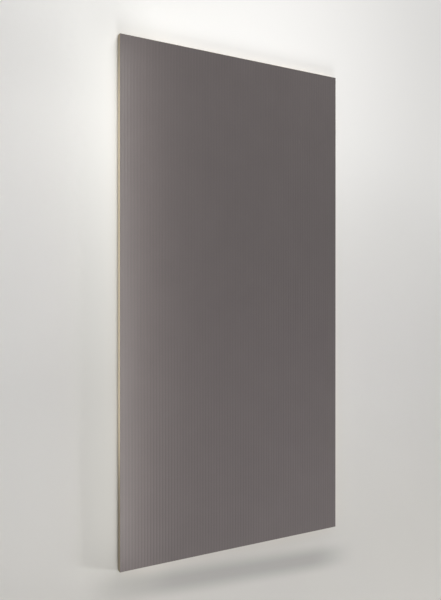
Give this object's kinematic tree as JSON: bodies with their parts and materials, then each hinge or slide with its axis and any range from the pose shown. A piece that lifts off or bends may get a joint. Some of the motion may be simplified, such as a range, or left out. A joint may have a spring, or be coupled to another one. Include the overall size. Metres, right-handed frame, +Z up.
{
  "type": "decorative laminate sheet",
  "caption": "Full-size laminate-faced sheet with a finely reeded taupe face and bare tan edges, for lining walls, doors and furniture.",
  "frame": {"origin": "centre of the sheet's back, the face that it lies on", "axes": "+Z up, out of the reeded decor face; +Y along the reeds and the sheet's length; +X across its width"},
  "size_m": [1.22, 2.44, 0.026],
  "materials": {
    "taupe_laminate": "satin",
    "tan_board": "matte"
  },
  "bodies": {
    "root": {"laminate_sheet": "taupe_laminate"}
  },
  "joints": []
}
